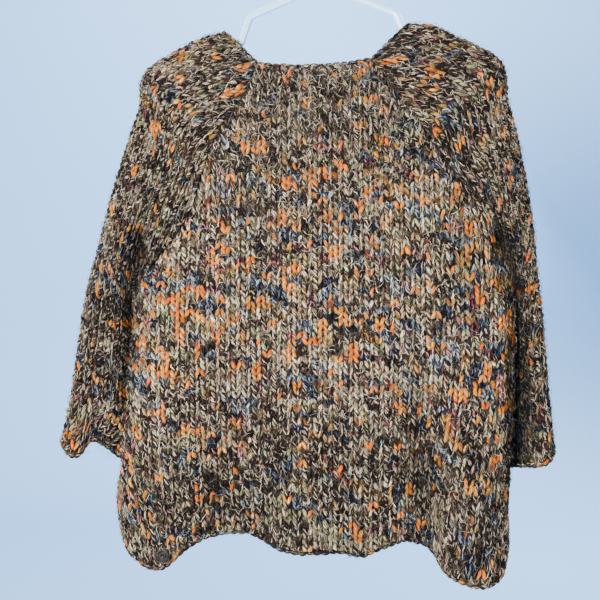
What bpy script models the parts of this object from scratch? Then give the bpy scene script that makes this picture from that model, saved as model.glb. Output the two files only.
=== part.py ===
"""A chunky knit raglan cardigan, hung by its shoulders on a tubular coat hanger.

The cardigan's back faces -Y and its open front faces +Y, +X is to the right as its back is seen, and +Z is
up. The origin is the point inside the top of the hook, where a rail touches it. Left and right are as seen
from the back. Tables are in millimetres, and the finished pieces are in metres.

Every panel is a wall lofted through rows. A row is a section of the hanging garment: over the yoke the rows
run from raglan seam to raglan seam, below it from side seam to side seam, and along a sleeve they run round
it. Neighbouring panels share the points and the directions of their seams, so that the seams stay even.
"""

import math

import bmesh
import bpy
import numpy as np

MM = 0.001
COLLECTION = "chunky_knit_cardigan_on_hanger"

WALL = 6.0  # the knitted cloth's thickness
SEAM_GAP = 0.3  # between two panels at a seam
UNDERARM_GAP = 2.4  # and where the seams meet under the arm
UNDERARM_ROWS = 4  # the gap widens over these last rows of a raglan seam
UNDERARM_TURN = 0.35  # how much the last row but one already faces down
FOLDED_EDGE_RADIUS = 12.0  # how round the cloth is where it folds over the hanger and at its sides

RAGLAN_ROWS = 11  # steps from the neck to the underarm
LOWER_ROWS = 13  # steps from the underarm to the hem
SLEEVE_ROWS = 9  # steps from the underarm to the cuff
BACK_COLUMNS = 36
FRONT_COLUMNS = 17
SLEEVE_COLUMNS = 24

# Sleeve sections, neck to cuff. The outer point runs over the shoulder and down the sleeve's outer edge.
# The inner point is on the raglan seams down to the underarm, and then on the sleeve's inner edge. "seam" is
# how far the back and front raglan seams stand from the mid plane, "back" and "front" how deep the sleeve is
# on each side, and "fullest" where, from the outer edge (0) to the inner one (1), it is deepest.
SLEEVE_FIELDS = ("outer_x", "outer_y", "outer_z", "inner_x", "inner_y", "inner_z",
                 "seam", "back", "front", "fullest")
UNDERARM = 9  # the row of the underarm in both sleeve tables
LEFT_SLEEVE = (
    (-109, 0, -115, -72, 0, -152, 14, 14, 14, 1.00),
    (-132, 0, -120, -84, 0, -184, 21, 21, 21, 1.00),
    (-156, 0, -131, -99, 0, -207, 25, 25, 24, 1.00),
    (-180, 0, -145, -112, 0, -226, 27, 27, 25, 1.00),
    (-197, 0, -157, -123, 0, -248, 28, 28, 26, 1.00),
    (-205, 0, -173, -132, 0, -276, 27, 29, 26, 0.95),
    (-206, 1, -197, -143, 0, -311, 24, 29, 27, 0.82),
    (-216, 3, -229, -160, 0, -342, 19, 29, 28, 0.70),
    (-232, 6, -276, -185, 0, -372, 11, 28, 29, 0.60),
    (-246, 9, -325, -208, 0, -404, 0, 28, 29, 0.50),
    (-257, 11, -366, -212, 25, -438, 0, 26, 28, 0.50),
    (-268, 12, -406, -209, 38, -475, 0, 27, 28, 0.48),
    (-276, 12, -454, -207, 44, -517, 0, 28, 28, 0.45),
    (-283, 12, -503, -206, 46, -552, 0, 28, 28, 0.45),
    (-290, 11, -543, -203, 50, -582, 0, 28, 28, 0.45),
    (-297, 10, -576, -201, 54, -609, 0, 28, 28, 0.45),
)
RIGHT_SLEEVE = (
    (96, 0, -106, 55, 0, -147, 14, 14, 14, 1.00),
    (124, 0, -107, 67, 0, -167, 20, 20, 20, 1.00),
    (150, 0, -119, 86, 0, -189, 25, 25, 24, 1.00),
    (176, 0, -130, 100, 0, -208, 27, 27, 25, 1.00),
    (199, 0, -144, 115, 0, -233, 28, 28, 26, 1.00),
    (208, 0, -162, 130, 0, -256, 27, 29, 26, 0.95),
    (209, 1, -186, 147, 0, -280, 25, 29, 27, 0.82),
    (214, 3, -205, 168, 0, -306, 20, 29, 28, 0.70),
    (225, 5, -249, 192, 0, -346, 11, 28, 29, 0.60),
    (237, 8, -320, 215, 0, -395, 0, 28, 29, 0.50),
    (243, 9, -374, 217, 28, -423, 0, 28, 32, 0.50),
    (248, 10, -415, 214, 43, -464, 0, 31, 34, 0.46),
    (252, 10, -460, 212, 51, -509, 0, 33, 34, 0.42),
    (256, 10, -509, 210, 55, -550, 0, 35, 34, 0.40),
    (260, 10, -547, 208, 58, -584, 0, 36, 34, 0.40),
    (264, 10, -582, 206, 60, -616, 0, 37, 34, 0.40),
)

# The cuff's wave: how far its edge hangs below the plain section, by the angle round the sleeve from its
# inner edge (0) over the back to its outer edge (180) and over the front (360).
LEFT_CUFF = ((0, 0), (72, 0), (92, -8), (118, -5), (142, 12), (180, 4), (240, 6), (300, -4), (360, 0))
RIGHT_CUFF = ((0, 0), (60, 4), (90, 7), (125, 11), (150, 10), (180, 0), (240, -4), (300, 5), (360, 0))
CUFF_WAVE_START = 12.5  # the sleeve row where the wave begins
LEAST_FULLEST = 0.3

# The body's depth at its middle, neck to underarm, behind and in front. "roundness" is the exponent that
# brings the depth down to the seam: 1 is a gentle slope and 0.5 a round edge.
YOKE_FIELDS = ("back", "front", "roundness")
YOKE = (
    (15, 16, 1.0), (22, 20, 1.0), (27, 22, 1.0), (30, 23, 1.0), (32, 24, 1.0),
    (34, 24, 0.95), (35, 23, 0.85), (36, 21, 0.72), (37, 19, 0.6), (37, 18, 0.5),
)
ROUND_EDGE = 0.5
YOKE_FLATNESS = 2.5  # the superellipse exponent across the yoke
BACK_NECK_DIP = 5.0  # how far the neckline dips between the raglan seams
FRONT_NECK_DIP = 62.0
NECK_CURVE_POWER = 2.2  # how flat the dip's bottom is
DIP_FADE_POWER = 1.5  # how fast the dip dies away below the neckline

# The body's sides, underarm to hem at even steps, and its depth at its middle.
LOWER_FIELDS = ("left_x", "right_x", "back", "front")
LOWER = (
    (-208, 215, 37, 18), (-213, 216, 37, 17), (-217, 217, 37, 18), (-219, 217, 37, 19), (-222, 216, 36, 20),
    (-225, 214, 36, 22), (-227, 212, 36, 23), (-231, 210, 36, 24), (-229, 211, 35, 24),
)

# The hem's height across the garment, from side seam to side seam.
BACK_HEM = (
    (-229, -664), (-220, -691), (-203, -707), (-177, -712), (-150, -692), (-131, -681), (-110, -676),
    (-87, -674), (-70, -680), (-48, -691), (-29, -694), (19, -693), (46, -697), (64, -690), (93, -683),
    (108, -688), (119, -694), (132, -716), (153, -728), (172, -732), (190, -731), (204, -718), (211, -690),
)
FRONT_HEM = (
    (-229, -664), (-215, -690), (-185, -700), (-150, -696), (-110, -684), (-60, -686), (0, -690),
    (60, -687), (100, -688), (150, -704), (185, -714), (203, -708), (211, -690),
)
HEM_LEVEL = -690.0  # the hem's height without its wave
HEM_WAVE_POWER = 2.2  # how fast the wave dies away above the hem

# The largest folds: where each begins, where its line meets the hem, how wide it is and how far it stands
# out of the cloth (a ridge) or into it (a trough, below 0). They fade out at the side seams.
FOLD_EDGE_POWER = 10
FOLD_FIELDS = ("top_x", "top_z", "hem_x", "half_width", "rise")
BACK_FOLDS = (
    (-196, -500, -186, 24, 5), (-100, -400, -104, 34, -14), (-62, -330, -70, 22, -4),
    (-6, -450, 2, 46, 6), (84, -400, 112, 21, -19), (146, -380, 172, 27, 13),
)
FRONT_FOLDS = (
    (-150, -380, -165, 28, 8), (-92, -400, -104, 24, -7), (-40, -430, -46, 20, 5),
    (42, -430, 48, 20, 5), (96, -400, 106, 24, -7), (150, -380, 165, 28, 9),
)

# The open front: the distance between its two edges.
OPENING_AT_NECK = 9.0
OPENING_AT_HEM = 24.0

# Hanger
TUBE_RADIUS = 4.75
HOOK_WIRE_RADIUS = 3.5
HOOK_INNER_RADIUS = 20.0
HOOK_CENTRE_Z = -HOOK_INNER_RADIUS
HOOK_START_ANGLE, HOOK_END_ANGLE, HOOK_STEP = -60, 200, 13
HOOK_BEND_RADIUS = 9.0
HANGER_TILT = math.radians(1.3)  # the right shoulder is the higher one
# Corners of the frame's right half with the radius of each, from the apex round to the bottom bar.
FRAME_CORNERS = ((0, -61, 30), (83, -95.5, 9), (94, -126, 9), (315, -206, 26))
ARC_STEP = math.radians(18)

SHELL_COLOURS = {
    "back": (0.24, 0.20, 0.16),
    "front_left": (0.22, 0.18, 0.15),
    "front_right": (0.22, 0.18, 0.15),
    "sleeve_left": (0.20, 0.17, 0.14),
    "sleeve_right": (0.20, 0.17, 0.14),
}
PLASTIC_COLOUR = (0.86, 0.87, 0.88)


def along(table, stations):
    """A smooth curve through a table's rows, read at fractional row numbers."""
    rows = np.array(table, float)
    slopes = np.gradient(rows, axis=0)
    start = np.clip(np.floor(stations).astype(int), 0, len(rows) - 2)
    step = (np.asarray(stations, float) - start)[:, None]
    square, cube = step**2, step**3
    return (
        (2 * cube - 3 * square + 1) * rows[start]
        + (cube - 2 * square + step) * slopes[start]
        + (3 * square - 2 * cube) * rows[start + 1]
        + (cube - square) * slopes[start + 1]
    )


def across(table, positions):
    """A smooth height through the (position, height) points of a table."""
    places, heights = np.array(table, float).T
    slopes = np.gradient(heights, places)
    positions = np.clip(positions, places[0], places[-1])
    start = np.clip(np.searchsorted(places, positions, side="right") - 1, 0, len(places) - 2)
    width = places[start + 1] - places[start]
    step = (positions - places[start]) / width
    square, cube = step**2, step**3
    return (
        (2 * cube - 3 * square + 1) * heights[start]
        + (cube - 2 * square + step) * width * slopes[start]
        + (3 * square - 2 * cube) * heights[start + 1]
        + (cube - square) * width * slopes[start + 1]
    )


def smooth_step(value):
    value = np.clip(value, 0, 1)
    return value * value * (3 - 2 * value)


def unit(vectors):
    return vectors / np.maximum(np.linalg.norm(vectors, axis=-1, keepdims=True), 1e-9)


def edge_exponent(reach, depth):
    """The superellipse exponent that gives a fold of FOLDED_EDGE_RADIUS at the edge of a section."""
    return np.clip(2 * reach * FOLDED_EDGE_RADIUS / np.maximum(depth, 1) ** 2, 2, 12)


def arch(distance, exponent):
    """A superellipse's height, 1 at the middle (0) and 0 at the edge (1)."""
    return np.sqrt(np.clip(1 - np.abs(distance) ** exponent, 0, 1))


def sleeve_stations():
    yoke = np.linspace(0, UNDERARM, RAGLAN_ROWS + 1)
    lower = np.linspace(UNDERARM, len(LEFT_SLEEVE) - 1, SLEEVE_ROWS + 1)[1:]
    return np.concatenate([yoke, lower])


def sleeve_points(table, cuff):
    """The sleeve's outside: rows of points round it, from the back raglan seam to the front one."""
    stations = sleeve_stations()
    rows = along(table, stations)
    outer, inner = rows[:, None, 0:3], rows[:, None, 3:6]
    section = dict(zip(SLEEVE_FIELDS, rows.T[:, :, None]))
    seam = np.where(stations[:, None] >= UNDERARM, 0, np.maximum(section["seam"], 0))
    fullest = np.clip(section["fullest"], LEAST_FULLEST, 1)

    angle = np.linspace(0, 2 * math.pi, SLEEVE_COLUMNS + 1)
    place = (1 + np.cos(angle))[None, :] / 2
    is_back = (angle < math.pi)[None, :]
    depth = np.where(is_back, section["back"], section["front"])
    reach = np.linalg.norm(inner - outer, axis=2)
    towards_outer = np.clip((fullest - place) / fullest, 0, 1)
    towards_inner = np.clip((place - fullest) / np.maximum(1 - fullest, 1e-6), 0, 1)
    outer_part = depth * arch(towards_outer, edge_exponent(fullest * reach, depth))
    inner_part = seam + (depth - seam) * arch(towards_inner, edge_exponent((1 - fullest) * reach, depth))
    offset = np.where(place <= fullest, outer_part, inner_part)

    points = outer + (inner - outer) * place[:, :, None]
    points[:, :, 1] += np.where(is_back, -offset, offset)
    down = unit(np.gradient((outer + inner)[:, 0], axis=0))[:, None, :]
    drop = across(cuff, np.degrees(angle))[None, :, None]
    last = len(table) - 1
    weight = smooth_step((stations - CUFF_WAVE_START) / (last - CUFF_WAVE_START))[:, None, None]
    return points + down * drop * weight


def lower_rows(down):
    """The body's sizes below the underarm, from there (0) to the hem (1)."""
    return dict(zip(LOWER_FIELDS, along(LOWER, down * (len(LOWER) - 1)).T))


def fold_relief(folds, x, z):
    """How far the folds stand out of the body at a point."""
    relief = np.zeros_like(x)
    for values in folds:
        fold = dict(zip(FOLD_FIELDS, values))
        progress = (fold["top_z"] - z) / (fold["top_z"] - HEM_LEVEL)
        centre = fold["top_x"] + (fold["hem_x"] - fold["top_x"]) * np.maximum(progress, 0)
        profile = np.exp(-(((x - centre) / fold["half_width"]) ** 2))
        relief += fold["rise"] * smooth_step(progress) * profile
    return relief


def body_points(side, places, left_sleeve, right_sleeve):
    """The outside of the body, back (side -1) or front (side 1).

    places holds, for each row, where its points lie from the left seam (0) to the right one (1)."""
    left_seam = left_sleeve[: RAGLAN_ROWS + 1, 0]
    right_seam = right_sleeve[: RAGLAN_ROWS + 1, 0]
    yoke = dict(zip(YOKE_FIELDS, along(YOKE, np.linspace(0, UNDERARM, RAGLAN_ROWS + 1)).T))
    down = np.linspace(0, 1, LOWER_ROWS + 1)[1:]
    lower = lower_rows(down)
    face = "back" if side < 0 else "front"
    hem = BACK_HEM if side < 0 else FRONT_HEM

    left_x = np.concatenate([left_seam[:, 0], lower["left_x"]])[:, None]
    right_x = np.concatenate([right_seam[:, 0], lower["right_x"]])[:, None]
    x = left_x + (right_x - left_x) * places

    progress = np.concatenate([np.zeros(RAGLAN_ROWS + 1), down])[:, None]
    left_z = np.concatenate([left_seam[:, 2], np.full(LOWER_ROWS, left_seam[-1, 2])])[:, None]
    right_z = np.concatenate([right_seam[:, 2], np.full(LOWER_ROWS, right_seam[-1, 2])])[:, None]
    level = left_z + (right_z - left_z) * places
    wave = (across(hem, x) - HEM_LEVEL) * progress**HEM_WAVE_POWER
    z = level + (HEM_LEVEL - level) * progress + wave

    from_middle = np.abs(2 * places - 1)
    dip = BACK_NECK_DIP if side < 0 else FRONT_NECK_DIP
    left_over = np.linspace(1, 0, RAGLAN_ROWS + 1) ** DIP_FADE_POWER
    dips = np.concatenate([dip * left_over, np.zeros(LOWER_ROWS)])[:, None]
    z = z - dips * (1 - from_middle**NECK_CURVE_POWER)

    seam_depth = np.concatenate([np.abs(left_seam[:, 1]), np.zeros(LOWER_ROWS)])[:, None]
    right_depth = np.concatenate([np.abs(right_seam[:, 1]), np.zeros(LOWER_ROWS)])[:, None]
    seam_depth = seam_depth + (right_depth - seam_depth) * places
    middle = np.concatenate([yoke[face], lower[face]])[:, None]
    roundness = np.concatenate([yoke["roundness"], np.full(LOWER_ROWS, ROUND_EDGE)])[:, None]
    roundness = np.clip(roundness, ROUND_EDGE, 1)
    edge = edge_exponent((right_x - left_x) / 2, middle)
    flatness = YOKE_FLATNESS + (edge - YOKE_FLATNESS) * (1 - roundness) / (1 - ROUND_EDGE)
    depth = seam_depth + (middle - seam_depth) * np.clip(1 - from_middle**flatness, 0, 1) ** roundness
    folds = BACK_FOLDS if side < 0 else FRONT_FOLDS
    depth = depth + fold_relief(folds, x, z) * (1 - from_middle**FOLD_EDGE_POWER)
    return np.stack([x, side * depth, z], axis=2)


def back_places():
    even = np.linspace(0, 1, BACK_COLUMNS + 1)
    rounded = (1 - np.cos(math.pi * even)) / 2
    rows = RAGLAN_ROWS + LOWER_ROWS + 1
    return np.tile((even + rounded) / 2, (rows, 1))


def front_places(hand, left_sleeve, right_sleeve):
    """The left (hand -1) or right (hand 1) front's points, from its seam to the opening."""
    count = RAGLAN_ROWS + LOWER_ROWS + 1
    lower = lower_rows(np.linspace(0, 1, LOWER_ROWS + 1)[1:])
    left_x = np.concatenate([left_sleeve[: RAGLAN_ROWS + 1, 0, 0], lower["left_x"]])
    right_x = np.concatenate([right_sleeve[: RAGLAN_ROWS + 1, 0, 0], lower["right_x"]])
    half_gap = np.linspace(OPENING_AT_NECK, OPENING_AT_HEM, count) / 2
    edge = (hand * half_gap - left_x) / (right_x - left_x)
    even = np.linspace(0, 1, FRONT_COLUMNS + 1)
    eased = (even + 1 - np.cos(math.pi / 2 * even)) / 2
    if hand < 0:
        return edge[:, None] * eased[None, :]
    return 1 - (1 - edge[:, None]) * eased[None, ::-1]


def outward(points, sign, round_from=None):
    """Directions out of a panel. Rows from round_from on close on themselves."""
    step_across = np.gradient(points, axis=1)
    if round_from is not None:
        closing = (points[round_from:, 1] - points[round_from:, -2]) / 2
        step_across[round_from:, 0] = closing
        step_across[round_from:, -1] = closing
    step_down = np.gradient(points, axis=0)
    return unit(sign * np.cross(step_across, step_down))


def share(first, second):
    """One direction for both sides of a seam, turning to point down at the underarm."""
    both = unit(first + second)
    both[-1] = (0, 0, -1)
    both[-2] = unit(both[-2] + UNDERARM_TURN * both[-1])
    return both


def pull_in(points, directions, column, neighbour, rows):
    """How far a raglan seam's points move into their own panel, square to the seam."""
    seam = points[rows, column]
    into = points[rows, neighbour] - seam
    square = unit(np.cross(directions[rows, column], np.gradient(seam, axis=0)))
    square *= np.sign(np.sum(square * into, axis=1, keepdims=True))
    gap = np.full(len(seam), SEAM_GAP)
    gap[-UNDERARM_ROWS:] = np.linspace(SEAM_GAP, UNDERARM_GAP, UNDERARM_ROWS)
    return square * gap[:, None] / 2


def wall(name, points, directions, shifts, closed_from=None):
    """A closed wall between a grid of outer points and the same points WALL further in.

    Rows from closed_from on are rings, whose first and last points are one."""
    outside = points + shifts
    inside = outside - WALL * directions
    mesh = bpy.data.meshes.new(name)
    body = bmesh.new()
    rows, columns = points.shape[:2]
    layers = []
    for layer in (outside, inside):
        grid = []
        for row in range(rows):
            is_ring = closed_from is not None and row >= closed_from
            count = columns - 1 if is_ring else columns
            verts = [body.verts.new(layer[row, column] * MM) for column in range(count)]
            grid.append(verts + verts[:1] if is_ring else verts)
        layers.append(grid)
    outer, inner = layers
    for row in range(rows - 1):
        for column in range(columns - 1):
            for grid in layers:
                corners = [grid[row][column], grid[row][column + 1]]
                corners += [grid[row + 1][column + 1], grid[row + 1][column]]
                body.faces.new(corners)
    ends = [(0, step) for step in range(columns)], [(rows - 1, step) for step in range(columns)]
    last_open = rows - 1 if closed_from is None else closed_from
    sides = [[(row, column) for row in range(last_open + 1)] for column in (0, columns - 1)]
    for rim in (*ends, *sides):
        for (row, column), (next_row, next_column) in zip(rim, rim[1:]):
            near, far = outer[row][column], inner[next_row][next_column]
            body.faces.new((near, outer[next_row][next_column], far))
            body.faces.new((near, far, inner[row][column]))
    bmesh.ops.recalc_face_normals(body, faces=body.faces)
    if body.calc_volume(signed=True) < 0:
        bmesh.ops.reverse_faces(body, faces=body.faces)
    body.to_mesh(mesh)
    body.free()
    return mesh


def make_material(name, colour, roughness):
    material = bpy.data.materials.new(name)
    material.use_nodes = True
    shader = material.node_tree.nodes["Principled BSDF"]
    shader.inputs["Base Color"].default_value = (*colour, 1)
    shader.inputs["Roughness"].default_value = roughness
    shader.inputs["Metallic"].default_value = 0
    return material


def add_object(collection, name, data, material):
    data.materials.append(material)
    made = bpy.data.objects.new(name, data)
    collection.objects.link(made)
    return made


def make_panels():
    """The five knitted panels' meshes, by name."""
    left = sleeve_points(LEFT_SLEEVE, LEFT_CUFF)
    right = sleeve_points(RIGHT_SLEEVE, RIGHT_CUFF)
    grids = {
        "back": body_points(-1, back_places(), left, right),
        "front_left": body_points(1, front_places(-1, left, right), left, right),
        "front_right": body_points(1, front_places(1, left, right), left, right),
        "sleeve_left": left,
        "sleeve_right": right,
    }
    signs = {"back": -1, "front_left": 1, "front_right": 1, "sleeve_left": 1, "sleeve_right": -1}
    ring_rows = {"sleeve_left": RAGLAN_ROWS, "sleeve_right": RAGLAN_ROWS}
    directions = {name: outward(grids[name], signs[name], ring_rows.get(name)) for name in grids}

    # Each raglan seam: the body panel and its edge column, the sleeve and its edge column.
    seams = (("back", 0, "sleeve_left", 0), ("back", -1, "sleeve_right", 0),
             ("front_left", 0, "sleeve_left", -1), ("front_right", -1, "sleeve_right", -1))
    raglan = slice(0, RAGLAN_ROWS + 1)
    lower = slice(RAGLAN_ROWS + 1, None)
    shifts = {name: np.zeros_like(points) for name, points in grids.items()}
    for panel, column, sleeve, sleeve_column in seams:
        shared = share(directions[panel][raglan, column], directions[sleeve][raglan, sleeve_column])
        side = -1 if column == 0 else 1
        directions[panel][raglan, column] = shared
        directions[sleeve][raglan, sleeve_column] = shared
        directions[panel][lower, column] = (side, 0, 0)
        inwards = 1 if column == 0 else -2
        shifts[panel][raglan, column] = pull_in(grids[panel], directions[panel], column, inwards, raglan)
        inwards = 1 if sleeve_column == 0 else -2
        shifts[sleeve][raglan, sleeve_column] = pull_in(
            grids[sleeve], directions[sleeve], sleeve_column, inwards, raglan)
        underarm = RAGLAN_ROWS
        facing = -1 if panel == "back" else 1
        shifts[panel][underarm, column] = (-side * UNDERARM_GAP / 2, facing * SEAM_GAP / 2, 0)
        shifts[panel][lower, column] = (0, facing * SEAM_GAP / 2, 0)
        shifts[sleeve][underarm, sleeve_column] = (side * UNDERARM_GAP / 2, 0, 0)
    return {
        name: wall(name, grids[name], directions[name], shifts[name], ring_rows.get(name)) for name in grids
    }


def rounded_path(corners):
    """Points along straight runs whose corners are rounded by the radius that each one gives.

    A corner without a radius is an end of the path."""
    path = []
    for index, (x, z, radius) in enumerate(corners):
        if not radius:
            path.append((x, z))
            continue
        corner = np.array((x, z), float)
        before = unit(np.array(corners[index - 1][:2], float) - corner)
        after = unit(np.array(corners[(index + 1) % len(corners)][:2], float) - corner)
        half = math.acos(float(np.clip(before @ after, -1, 1))) / 2
        start = corner + before * radius / math.tan(half)
        centre = corner + unit(before + after) * radius / math.sin(half)
        turn = math.pi - 2 * half
        steps = max(2, math.ceil(turn / ARC_STEP))
        spin = np.sign(before[0] * after[1] - before[1] * after[0])
        for step in range(steps + 1):
            swept = -spin * turn * step / steps
            arm = start - centre
            path.append((
                centre[0] + arm[0] * math.cos(swept) - arm[1] * math.sin(swept),
                centre[1] + arm[0] * math.sin(swept) + arm[1] * math.cos(swept),
            ))
    return path


def make_tube(name, path, radius, is_closed):
    curve = bpy.data.curves.new(name, "CURVE")
    curve.dimensions = "3D"
    curve.bevel_depth = radius * MM
    curve.bevel_resolution = 2
    curve.use_fill_caps = True
    spline = curve.splines.new("POLY")
    spline.points.add(len(path) - 1)
    for point, (x, z) in zip(spline.points, path):
        point.co = (x * MM, 0, z * MM, 1)
    spline.use_cyclic_u = is_closed
    return curve


def frame_path():
    """The frame's centre line: shoulders with their strap notches, round ends and a bottom bar."""
    right = list(FRAME_CORNERS)
    left = [(-x, z, radius) for x, z, radius in reversed(right[1:])]
    path = rounded_path(right + left)
    apex_z = FRAME_CORNERS[0][1]
    cosine, sine = math.cos(HANGER_TILT), math.sin(HANGER_TILT)
    return [
        (x * cosine - (z - apex_z) * sine, apex_z + x * sine + (z - apex_z) * cosine) for x, z in path
    ]


def hook_path(stem_bottom):
    """The stem, a bend off it, and the open round of the hook."""
    radius = HOOK_INNER_RADIUS + HOOK_WIRE_RADIUS
    angles = np.radians(np.arange(HOOK_START_ANGLE, HOOK_END_ANGLE + 1, HOOK_STEP))
    bow = [(radius * math.cos(angle), HOOK_CENTRE_Z + radius * math.sin(angle)) for angle in angles]
    start_x, start_z = bow[0]
    slope = math.tan(math.pi / 2 + math.radians(HOOK_START_ANGLE))
    bend_z = start_z - start_x * slope
    bend = rounded_path([(0, stem_bottom, 0), (0, bend_z, HOOK_BEND_RADIUS), (start_x, start_z, 0)])
    return [*bend, *bow[1:]]


def make_hanger(collection):
    plastic = make_material("hanger_plastic", PLASTIC_COLOUR, 0.35)
    path = frame_path()
    add_object(collection, "hanger_frame", make_tube("hanger_frame", path, TUBE_RADIUS, True), plastic)
    apex = max(z for _, z in path)
    stem_bottom = apex + TUBE_RADIUS + SEAM_GAP
    hook = make_tube("hanger_hook", hook_path(stem_bottom), HOOK_WIRE_RADIUS, False)
    add_object(collection, "hanger_hook", hook, plastic)


def main():
    for existing in list(bpy.data.objects):
        bpy.data.objects.remove(existing)
    collection = bpy.data.collections.new(COLLECTION)
    bpy.context.scene.collection.children.link(collection)
    for name, mesh in make_panels().items():
        material = make_material(name + "_knit", SHELL_COLOURS[name], 0.95)
        add_object(collection, name, mesh, material)
    make_hanger(collection)


main()
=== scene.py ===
import math

import bmesh
import bpy
import numpy as np
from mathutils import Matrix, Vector


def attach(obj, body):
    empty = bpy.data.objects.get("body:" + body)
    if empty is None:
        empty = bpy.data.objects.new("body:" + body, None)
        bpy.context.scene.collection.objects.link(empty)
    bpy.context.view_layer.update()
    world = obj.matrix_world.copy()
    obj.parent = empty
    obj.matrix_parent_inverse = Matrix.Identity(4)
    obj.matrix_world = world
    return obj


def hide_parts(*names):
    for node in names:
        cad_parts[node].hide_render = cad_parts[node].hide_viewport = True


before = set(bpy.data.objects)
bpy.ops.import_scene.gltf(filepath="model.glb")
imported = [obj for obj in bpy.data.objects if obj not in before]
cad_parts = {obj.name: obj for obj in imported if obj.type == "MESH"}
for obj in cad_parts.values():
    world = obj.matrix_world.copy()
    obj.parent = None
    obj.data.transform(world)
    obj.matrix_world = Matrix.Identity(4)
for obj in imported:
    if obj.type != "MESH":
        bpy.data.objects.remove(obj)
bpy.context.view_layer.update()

# A super chunky stocking-stitch cardigan on a tubular coat hanger. Each panel is a thin shell of its own, and
# its stitches are laid over it leg by leg, on a chart of courses and wales. Sizes are in millimetres until
# a mesh is made. Left and right are as seen from the back, which faces -Y.

MM = 0.001

# ---- the garment's form, as its solids have it

FOLDED_EDGE_RADIUS = 12.0
UNDERARM = 9  # the row of the underarm in both sleeve tables

# A sleeve's sections from neck to cuff: the outer and the inner point (x, y, z each), the raglan seam's depth,
# how far it stands out at the back and at the front, and where it is fullest (1 at the outer point).
LEFT_SLEEVE = (
    (-109, 0, -115, -72, 0, -152, 14, 14, 14, 1.00),
    (-132, 0, -120, -84, 0, -184, 21, 21, 21, 1.00),
    (-156, 0, -131, -99, 0, -207, 25, 25, 24, 1.00),
    (-180, 0, -145, -112, 0, -226, 27, 27, 25, 1.00),
    (-197, 0, -157, -123, 0, -248, 28, 28, 26, 1.00),
    (-205, 0, -173, -132, 0, -276, 27, 29, 26, 0.95),
    (-206, 1, -197, -143, 0, -311, 24, 29, 27, 0.82),
    (-216, 3, -229, -160, 0, -342, 19, 29, 28, 0.70),
    (-232, 6, -276, -185, 0, -372, 11, 28, 29, 0.60),
    (-246, 9, -325, -208, 0, -404, 0, 28, 29, 0.50),
    (-257, 11, -366, -212, 25, -438, 0, 26, 28, 0.50),
    (-268, 12, -406, -209, 38, -475, 0, 27, 28, 0.48),
    (-276, 12, -454, -207, 44, -517, 0, 28, 28, 0.45),
    (-283, 12, -503, -206, 46, -552, 0, 28, 28, 0.45),
    (-290, 11, -543, -203, 50, -582, 0, 28, 28, 0.45),
    (-297, 10, -576, -201, 54, -609, 0, 28, 28, 0.45),
)
RIGHT_SLEEVE = (
    (96, 0, -106, 55, 0, -147, 14, 14, 14, 1.00),
    (124, 0, -107, 67, 0, -167, 20, 20, 20, 1.00),
    (150, 0, -119, 86, 0, -189, 25, 25, 24, 1.00),
    (176, 0, -130, 100, 0, -208, 27, 27, 25, 1.00),
    (199, 0, -144, 115, 0, -233, 28, 28, 26, 1.00),
    (208, 0, -162, 130, 0, -256, 27, 29, 26, 0.95),
    (209, 1, -186, 147, 0, -280, 25, 29, 27, 0.82),
    (214, 3, -205, 168, 0, -306, 20, 29, 28, 0.70),
    (225, 5, -249, 192, 0, -346, 11, 28, 29, 0.60),
    (237, 8, -320, 215, 0, -395, 0, 28, 29, 0.50),
    (243, 9, -374, 217, 28, -423, 0, 28, 32, 0.50),
    (248, 10, -415, 214, 43, -464, 0, 31, 34, 0.46),
    (252, 10, -460, 212, 51, -509, 0, 33, 34, 0.42),
    (256, 10, -509, 210, 55, -550, 0, 35, 34, 0.40),
    (260, 10, -547, 208, 58, -584, 0, 36, 34, 0.40),
    (264, 10, -582, 206, 60, -616, 0, 37, 34, 0.40),
)
# How much lower the cuff hangs, by the angle round it in degrees.
LEFT_CUFF = ((0, 0), (70, -2), (90, -11), (106, -11), (116, 5), (129, 12), (145, 11), (165, 5), (180, 3),
             (228, -4), (300, -9), (360, 0))
RIGHT_CUFF = ((0, 0), (60, 4), (90, 7), (125, 11), (150, 10), (180, 0), (240, -4), (300, 5), (360, 0))
CUFF_WAVE_START = 12.5
LEAST_FULLEST = 0.3
ROW_STEP = 0.05  # the part of a row that a sleeve's way down is taken over

# The body down to the underarm: how far it stands out at the back and the front, and how round its sides are.
YOKE = (
    (15, 16, 1.0), (22, 20, 1.0), (27, 22, 1.0), (30, 23, 1.0), (32, 24, 1.0),
    (34, 24, 0.95), (35, 23, 0.85), (36, 21, 0.72), (37, 19, 0.6), (37, 18, 0.5),
)
ROUND_EDGE = 0.5
YOKE_FLATNESS = 2.5
BACK_NECK_DIP, FRONT_NECK_DIP = 5.0, 62.0
NECK_CURVE_POWER = 2.2
DIP_FADE_POWER = 1.5

# The body below it: where its left and right edges are, and how far it stands out at the back and the front.
LOWER = (
    (-208, 215, 37, 18), (-213, 216, 37, 17), (-217, 217, 37, 18), (-219, 217, 37, 19), (-222, 216, 36, 20),
    (-225, 214, 36, 22), (-227, 212, 36, 23), (-231, 210, 36, 24), (-229, 211, 35, 24),
)
# The hem's x and z.
BACK_HEM = (
    (-229, -664), (-220, -691), (-203, -707), (-177, -712), (-150, -692), (-131, -681), (-110, -676),
    (-87, -674), (-70, -680), (-48, -691), (-29, -694), (19, -693), (46, -697), (64, -690), (93, -683),
    (108, -688), (119, -694), (132, -716), (153, -728), (172, -732), (190, -731), (204, -718), (211, -690),
)
FRONT_HEM = (
    (-229, -664), (-215, -690), (-185, -700), (-150, -696), (-110, -684), (-60, -686), (0, -690),
    (60, -687), (100, -688), (150, -704), (185, -714), (203, -708), (211, -690),
)
HEM_LEVEL = -690.0
HEM_WAVE_POWER = 2.2
FOLD_EDGE_POWER = 10

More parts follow.
